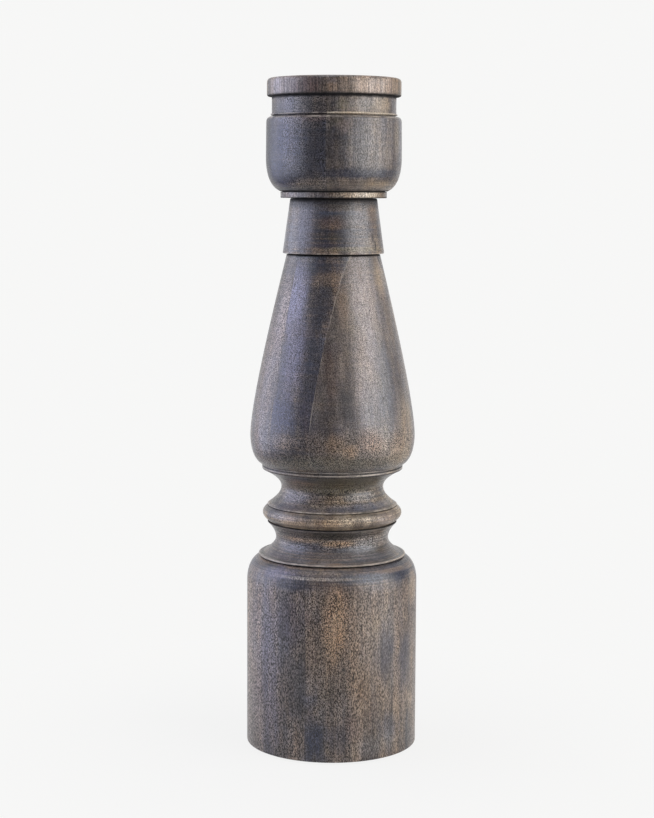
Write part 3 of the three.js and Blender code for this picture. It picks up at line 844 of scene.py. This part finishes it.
def upper_spool_finish():
    cover = [(0.0, 0.3), (0.2, 0.25), (0.3, 0.5), (0.42, 0.45), (0.6, 0.6), (1.0, 0.8)]
    rings = [(0.0, 0.6), (0.3, 0.5), (0.5, 0.4), (1.0, 0.6)]
    flecked = [(0.0, 0.35), (0.22, 0.5), (0.3, 0.3), (0.5, 0.9), (1.0, 0.7)]
    # The olive across the top of the cove is partly painted shade under the vase
    cove = [Stain(12, 164, 32, 6, OLIVE, 0.85), Stain(-34, 161.5, 14, 4.5, BARE_BROWN, 0.7),
            Stain(-8, 160, 22, 3, OLIVE, 0.7), Stain(-47, 154, 11, 3.6, LILAC, 0.4),
            Stain(-5, 154, 12, 2.6, BARE_BROWN, 0.4), Stain(35, 154.5, 13, 2.5, SMOKE, 0.4),
            Stain(-49, 148.7, 14, 2.2, PURPLE_BLUE, 0.5), Stain(36, 150, 24, 2.2, BLUE_SLATE, 0.7),
            Stain(7, 148.6, 22, 1.3, SLATE, 0.4)]
    # The cream on top of the bead is a painted highlight
    bead = [Stain(-41, 143.5, 12, 2.2, PINK_GREY, 0.35), Stain(-20, 141, 20, 3, GOLD_BROWN, 0.35),
            Stain(24, 144.3, 14, 1.6, CREAM_AND_GLINT, 0.25), Stain(52, 142, 10, 4, PINK_GREY, 0.25)]
    quirk = UPPER_Z + BEAD_HEIGHT
    # A pale worn edge over the quirk that is also a painted highlight, and grime with painted shade in the
    # quirk and at the foot
    lines = [worn_and_glinting(quirk + QUIRK + 0.3, 0.45, 0.9, 0.8), pooled_wash_and_shade(quirk + QUIRK / 3, 0.3), pooled_wash_and_shade(UPPER_Z, 0.6)]
    return washed_wood("upper_spool_wash", 23.0, UPPER_Z, UPPER_HEIGHT, cover, rings, cove + bead, lines,
                       brown=(UMBER, TAN), wash=(SOOT_AND_SHADE, STEEL), patchy=0.1, streaky=0.05, wiped=0.28,
                       mottled=0.3, thread=0.0, speckle=4.0, flecked=flecked, pores=0.5, dashed=1.6,
                       film=0.45, smeared=True)


def lower_spool_finish():
    cover = [(0.0, 0.4), (0.15, 0.45), (0.35, 0.5), (0.6, 0.5), (1.0, 0.7)]
    rings = [(0.0, 0.6), (0.5, 0.5), (1.0, 0.6)]
    flecked = [(0.0, 0.2), (0.35, 0.4), (0.48, 1.0), (0.75, 1.0), (1.0, 0.4)]
    # The soot across the top of the cove is painted shade under the bead
    cove = [Stain(-1, 133.7, 21, 3.2, SOOT_AND_SHADE, 0.9), Stain(-31, 130, 14, 1.8, GOLD_BROWN, 0.5),
            Stain(-28, 133.5, 10, 2.4, UMBER, 0.4), Stain(4, 128.4, 10, 2, GOLD_BROWN, 0.75),
            Stain(42, 128, 13, 3.6, SMOKE, 0.4), Stain(-42, 124, 10, 2.2, LILAC, 0.4),
            Stain(-22, 126, 6, 1.7, VIOLET, 0.5), Stain(25, 124.5, 14, 2.4, STEEL, 0.6),
            Stain(-58, 119, 13, 2, PURPLE_BLUE, 0.4), Stain(-8, 121.5, 13, 3, UMBER, 0.4),
            Stain(39, 119.8, 19, 2.2, STEEL, 0.45), Stain(3, 117.6, 6, 0.8, GOLD_BROWN, 0.4)]
    top = LOWER_Z + LOWER_HEIGHT
    # Pale worn edges of the lip and the top that are also painted highlights, and grime with painted shade at
    # both joints
    lines = [worn_and_glinting(LOWER_Z + 0.9, 0.4, 0.8, 0.7), pooled_wash_and_shade(LOWER_Z, 0.3), pooled_wash_and_shade(top, 0.5),
             worn_and_glinting(top - 0.8, 0.2, 0.5, 0.6)]
    return washed_wood("lower_spool_wash", 25.0, LOWER_Z, LOWER_HEIGHT, cover, rings, cove, lines,
                       brown=(UMBER, GREY_BROWN), wash=(SOOT_AND_SHADE, STEEL), patchy=0.1, streaky=0.05, wiped=0.4,
                       mottled=0.3, thread=0.0, speckle=7.0, flecked=flecked, pores=0.8, film=0.45,
                       smeared=True)


def black_iron():
    material, tree, shader, place = new_material("pan_black_iron")
    cloud = noise(tree, place, scale=(160, 160, 160), detail=5, roughness=0.6)
    shade = scaled(tree, use(tree, LATHE, Place=place)["Ring"], 0.15, cloud)
    tree.links.new(mixed(tree, shade, IRON_DARK, IRON_PALE), shader["Base Color"])
    tree.links.new(remap(tree, cloud, 0.3, 0.7, 0.42, 0.62), shader["Roughness"])
    shader["Metallic"].default_value = 0.85
    bumped(tree, shader, cloud, strength=0.2, depth=0.3 * MM)
    return material


def dark_felt():
    material, tree, shader, place = new_material("base_felt")
    hair = noise(tree, place, scale=(1400, 1400, 1400), detail=4, roughness=0.7)
    tree.links.new(mixed(tree, hair, FELT_DARK, FELT_PALE), shader["Base Color"])
    shader["Roughness"].default_value = 0.95
    shader["Sheen Weight"].default_value = 0.3
    bumped(tree, shader, hair, strength=0.6, depth=0.4 * MM)
    return material


def beech():
    material, tree, shader, place = new_material("dowel_beech")
    grain = use(tree, GRAIN, Place=place)
    wood = mixed(tree, grain["Streak"], BEECH_DARK, BEECH_PALE)
    tree.links.new(mixed(tree, times(tree, grain["Pore"], 0.4), wood, BEECH_PORE), shader["Base Color"])
    shader["Roughness"].default_value = 0.75
    return material


# Base
outline = Profile(0, 0)
outline.line(BASE_FOOT_RADIUS, 0, ease=0.6).line(BASE_RADIUS, BASE_HEIGHT - BASE_SHOULDER_DROP)
outline.curve(BASE_RADIUS, BASE_HEIGHT - BASE_SHOULDER_FALL, BASE_TOP_RADIUS, BASE_HEIGHT, ease=0.5)
outline.line(SPOOL_SEAT_RADIUS, BASE_HEIGHT).line(SPOOL_SEAT_RADIUS, BASE_SEAT_TOP)
outline.line(STEM_BORE, BASE_SEAT_TOP).line(STEM_BORE, BASE_SEAT_TOP - STEM_DEPTH)
outline.line(0, BASE_SEAT_TOP - STEM_DEPTH)
boards("base", turned(outline, BASE_Z), BASE_TURN, base_finishes())

# Lower spool
outline = Profile(STEM_BORE, 0)
outline.line(LIP_FOOT_RADIUS, 0, ease=0.3).curve(LIP_NOSE_RADIUS, LIP_HEIGHT, LIP_TOP_RADIUS, LIP_HEIGHT)
outline.curve(LOWER_WAIST_RADIUS, LIP_HEIGHT + LOWER_FLARE_RISE, LOWER_WAIST_RADIUS, LOWER_WAIST_HEIGHT)
lower_top_edge = LOWER_HEIGHT - ARRIS / 2
outline.curve(LOWER_WAIST_RADIUS, lower_top_edge - LOWER_FLARE_DROP, LOWER_TOP_RADIUS, lower_top_edge,
              ease=0.25)
outline.line(LOWER_TOP_RADIUS - ARRIS, LOWER_HEIGHT).line(STEM_BORE, LOWER_HEIGHT)
finished("lower_spool", turned(outline, LOWER_Z, closed=True), lower_spool_finish())

# Upper spool
outline = Profile(STEM_BORE, 0)
outline.line(BEAD_FOOT_RADIUS - ARRIS, 0).line(BEAD_FOOT_RADIUS, ARRIS, ease=0.25)
outline.curve(BEAD_NOSE_RADIUS, (BEAD_HEIGHT + ARRIS) / 2, BEAD_TOP_RADIUS, BEAD_HEIGHT, ease=0.2)
quirk_top = BEAD_HEIGHT + QUIRK
outline.line(BEAD_TOP_RADIUS - QUIRK_DEPTH, BEAD_HEIGHT + QUIRK / 2)
outline.line(BEAD_TOP_RADIUS, quirk_top, ease=0.15)
outline.curve(UPPER_WAIST_RADIUS, quirk_top + UPPER_FLARE_RISE, UPPER_WAIST_RADIUS, UPPER_WAIST_HEIGHT)
outline.curve(UPPER_WAIST_RADIUS, UPPER_HEIGHT - UPPER_FLARE_DROP, UPPER_TOP_RADIUS, UPPER_HEIGHT)
outline.line(STEM_BORE, UPPER_HEIGHT)
finished("upper_spool", turned(outline, UPPER_Z, closed=True), upper_spool_finish())

# Vase
outline = Profile(0, STEM_DEPTH)
outline.line(STEM_BORE, STEM_DEPTH).line(STEM_BORE, 0)
outline.line(FILLET_RADIUS, 0, ease=0.5).line(FILLET_RADIUS, FILLET_HEIGHT, ease=0.3)
outline.curve(BELLY_TUCK_RADIUS, FILLET_HEIGHT + BELLY_TUCK_RISE, BELLY_RADIUS, BELLY_HEIGHT, steps=24)
outline.curve(BELLY_RADIUS, BELLY_HEIGHT + BELLY_RUN, VASE_TOP_RADIUS, VASE_HEIGHT, ease=0.3, steps=40)
outline.line(COLLAR_SEAT_RADIUS, VASE_HEIGHT).line(COLLAR_SEAT_RADIUS, VASE_SEAT_TOP)
outline.line(HEAD_BORE, VASE_SEAT_TOP).line(HEAD_BORE, VASE_SEAT_TOP - HEAD_DEPTH_VASE)
outline.line(0, VASE_SEAT_TOP - HEAD_DEPTH_VASE)
boards("vase", turned(outline, VASE_Z), VASE_TURN, vase_finishes())

# Collar
outline = Profile(HEAD_BORE, 0)
outline.line(COLLAR_FOOT_RADIUS, 0, ease=0.5).line(COLLAR_TOP_RADIUS, COLLAR_HEIGHT - ARRIS, ease=0.2)
outline.line(COLLAR_TOP_RADIUS - ARRIS, COLLAR_HEIGHT).line(HEAD_BORE, COLLAR_HEIGHT)
finished("collar", turned(outline, COLLAR_Z, closed=True), collar_finish())

# Disc under the cup
outline = Profile(HEAD_BORE, 0)
outline.line(RING_RADIUS, 0, ease=0.5).line(RING_RADIUS, RING_HEIGHT, ease=0.5)
outline.line(GLUE_BEAD_OUTER_RADIUS, RING_HEIGHT).line(GLUE_BEAD_OUTER_RADIUS, RING_HEIGHT + GLUE_BEAD)
outline.line(GLUE_BEAD_INNER_RADIUS, RING_HEIGHT + GLUE_BEAD).line(GLUE_BEAD_INNER_RADIUS, RING_HEIGHT)
outline.line(HEAD_BORE, RING_HEIGHT)
finished("cup_foot_ring", turned(outline, RING_Z, closed=True), foot_ring_finish())

# Cup
outline = Profile(0, HEAD_DEPTH_CUP)
outline.line(HEAD_BORE, HEAD_DEPTH_CUP).line(HEAD_BORE, 0).line(CUP_FOOT_RADIUS, 0, ease=0.3)
outline.curve(CUP_RADIUS, CUP_BOTTOM_RISE, CUP_RADIUS, CUP_SWELL_HEIGHT)
outline.line(SHOULDER_RADIUS, SHOULDER_HEIGHT - SHOULDER_EASE)
outline.curve(SHOULDER_RADIUS, SHOULDER_HEIGHT, SHOULDER_TOP_RADIUS, SHOULDER_HEIGHT)
outline.line(GROOVE_RADIUS, SHOULDER_HEIGHT).line(GROOVE_RADIUS, GROOVE_TOP)
outline.line(SHOULDER_TOP_RADIUS, GROOVE_TOP)
bead_middle, bead_top = GROOVE_TOP + NECK_BEAD_HALF, GROOVE_TOP + 2 * NECK_BEAD_HALF
outline.curve(NECK_BEAD_RADIUS, GROOVE_TOP, NECK_BEAD_RADIUS, bead_middle, steps=5)
outline.curve(NECK_BEAD_RADIUS, bead_top, NECK_RADIUS, bead_top, steps=5)
outline.line(NECK_RADIUS, CUP_HEIGHT).line(RIM_BORE - SPIGOT_FIT, CUP_HEIGHT)
outline.line(RIM_BORE - SPIGOT_FIT, CUP_HEIGHT + SPIGOT).line(0, CUP_HEIGHT + SPIGOT)
boards("cup", turned(outline, CUP_Z), CUP_TURN, cup_finishes())

# Rim ring
outline = Profile(RIM_BORE, 0)
outline.line(RIM_RADIUS - RIM_FOOT_EASE, 0).curve(RIM_RADIUS, 0, RIM_RADIUS, RIM_FOOT_EASE, steps=6)
outline.line(RIM_RADIUS, RIM_HEIGHT - RIM_TOP_EASE)
outline.curve(RIM_RADIUS, RIM_HEIGHT, RIM_RADIUS - RIM_TOP_EASE, RIM_HEIGHT, steps=10)
outline.line(RIM_BORE, RIM_HEIGHT, ease=0.6).line(RIM_BORE, ARRIS)
finished("rim_ring", turned(outline, RIM_Z, closed=True), rim_finish())

# Pan
pan_inside = PAN_RADIUS - PAN_SHEET
pan_lip_radius = PAN_RADIUS + PAN_LIP
pan_lip_middle = PAN_HEIGHT - PAN_LIP
pan_lip_foot = PAN_HEIGHT - 2 * PAN_LIP
outline = Profile(0, 0)
outline.line(PAN_RADIUS - PAN_CORNER, 0).curve(PAN_RADIUS, 0, PAN_RADIUS, PAN_CORNER, steps=8)
outline.line(PAN_RADIUS, pan_lip_foot)
outline.curve(pan_lip_radius, pan_lip_foot, pan_lip_radius, pan_lip_middle, steps=6)
outline.curve(pan_lip_radius, PAN_HEIGHT, PAN_RADIUS, PAN_HEIGHT, steps=6)
outline.curve(pan_inside, PAN_HEIGHT, pan_inside, pan_lip_middle, steps=6).line(pan_inside, PAN_CORNER)
outline.curve(pan_inside, PAN_SHEET, PAN_RADIUS - PAN_CORNER, PAN_SHEET, steps=8).line(0, PAN_SHEET)
finished("candle_pan", turned(outline, PAN_Z), black_iron(), on="pan")

# Felt
outline = Profile(0, 0)
outline.line(FELT_RADIUS, 0, ease=0.15).line(FELT_RADIUS, FELT - GLUE_LINE, ease=0.15)
outline.line(0, FELT - GLUE_LINE)
felt = finished("felt_disc", turned(outline, 0), dark_felt())

# Dowels stay as the CAD made them
dowel_beech = beech()
for dowel in ("head_dowel", "stem_dowel"):
    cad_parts[dowel].data.materials.clear()
    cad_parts[dowel].data.materials.append(dowel_beech)


def seen(tree):
    """1 for what the camera sees, straight, mirrored or through glass, and 0 for what lights the holder."""
    path = node(tree, "ShaderNodeLightPath").outputs
    straight = calc(tree, "MAXIMUM", path["Is Camera Ray"], path["Is Glossy Ray"])
    return calc(tree, "MAXIMUM", straight, path["Is Transmission Ray"])


# Floor, pale as the backdrop, with the shadow of the holder close to it
PALE = (0.93, 0.93, 0.925, 1)
FLOOR_GREY = (0.55, 0.55, 0.55, 1)
FLOOR_RADIUS = 0.32
FLOOR_GAP = 0.1 * MM
SHADOW_NEAR = 0.05
SHADOW_FAR = 0.26
SHADOW_GLOW = 0.92
disc = bmesh.new()
bmesh.ops.create_circle(disc, cap_ends=True, segments=96, radius=FLOOR_RADIUS)
bmesh.ops.translate(disc, verts=disc.verts[:], vec=(0, 0, -FLOOR_GAP))
floor_mesh = bpy.data.meshes.new("studio_floor")
disc.to_mesh(floor_mesh)
disc.free()
floor = bpy.data.objects.new("studio_floor", floor_mesh)
scene.collection.objects.link(floor)
material, tree, shader, place = new_material("pale_floor")
shader["Base Color"].default_value = FLOOR_GREY
shader["Roughness"].default_value = 0.9
bright = remap(tree, length(tree, place), SHADOW_NEAR, SHADOW_FAR, SHADOW_GLOW, 1.0)
share = times(tree, seen(tree), bright)
lit = tree.nodes["Principled BSDF"].outputs[0]
glow = node(tree, "ShaderNodeEmission", {"Color": PALE, "Strength": 1}).outputs[0]
top_face = node(tree, "ShaderNodeMixShader", {0: share, 1: lit, 2: glow}).outputs[0]
underside = node(tree, "ShaderNodeBsdfTransparent").outputs[0]
from_below = node(tree, "ShaderNodeNewGeometry").outputs["Backfacing"]
surface = node(tree, "ShaderNodeMixShader", {0: from_below, 1: top_face, 2: underside}).outputs[0]
tree.links.new(surface, tree.nodes["Material Output"].inputs["Surface"])
floor_mesh.materials.append(material)

# World: a pale backdrop, with a dim room behind the camera
ROOM = (0.06, 0.06, 0.065, 1)
AMBIENT = (0.19, 0.19, 0.205, 1)
BACKDROP_EDGE = 0.5
BACKDROP_FULL = 0.9
world = bpy.data.worlds.new("studio")
scene.world = world
world.use_nodes = True
tree = world.node_tree
direction = node(tree, "ShaderNodeTexCoord").outputs["Generated"]
away = node(tree, "ShaderNodeSeparateXYZ", {0: direction}).outputs["Y"]
by_camera = node(tree, "ShaderNodeLightPath").outputs["Is Camera Ray"]
pale = calc(tree, "MAXIMUM", by_camera, remap(tree, away, BACKDROP_EDGE, BACKDROP_FULL))
shown = mixed(tree, pale, ROOM, PALE)
backdrop = node(tree, "ShaderNodeBackground", {"Color": shown, "Strength": 1}).outputs[0]
ambient = tree.nodes["Background"]
ambient.inputs["Color"].default_value = AMBIENT
surround = node(tree, "ShaderNodeMixShader", {0: seen(tree), 1: ambient.outputs[0], 2: backdrop}).outputs[0]
tree.links.new(surround, tree.nodes["World Output"].inputs["Surface"])

# Soft boxes, all aimed at the middle of the holder
AIM = Vector((0, 0, 0.2))


def softbox(name, azimuth, distance, height, width, tall, power, colour):
    """A soft box to one side, azimuth counted from the camera towards the right."""
    lamp = bpy.data.lights.new(name, "AREA")
    lamp.shape = "RECTANGLE"
    lamp.size = width
    lamp.size_y = tall
    lamp.energy = power
    lamp.color = colour
    stand = bpy.data.objects.new(name, lamp)
    scene.collection.objects.link(stand)
    angle = radians(azimuth)
    stand.location = (distance * sin(angle), -distance * cos(angle), height)
    stand.rotation_euler = (AIM - stand.location).to_track_quat("-Z", "Y").to_euler()


softbox("left_softbox", azimuth=-92, distance=1.2, height=0.5, width=1.8, tall=1.6, power=26,
        colour=(0.9, 0.93, 1.12))
softbox("right_softbox", azimuth=66, distance=1.2, height=0.5, width=1.35, tall=1.6, power=30,
        colour=(1.0, 0.97, 0.94))
softbox("top_softbox", azimuth=180, distance=0.1, height=1.7, width=1.2, tall=1.2, power=11,
        colour=(1.0, 1.0, 1.0))

# Camera at the photograph's viewing angle, looking a little down and hardly tilted
CAMERA_DIP = radians(6.888)
CAMERA_TILT = radians(-0.26)
eye = bpy.data.cameras.new("camera")
eye.lens = 80.79
eye.sensor_width = 36
eye.clip_start = 0.01
camera = bpy.data.objects.new("camera", eye)
scene.collection.objects.link(camera)
camera.location = (-0.004, -1.0986, 0.3373)
camera.rotation_euler = (pi / 2 - CAMERA_DIP, CAMERA_TILT, 0)
scene.camera = camera
scene.view_settings.view_transform = "Standard"
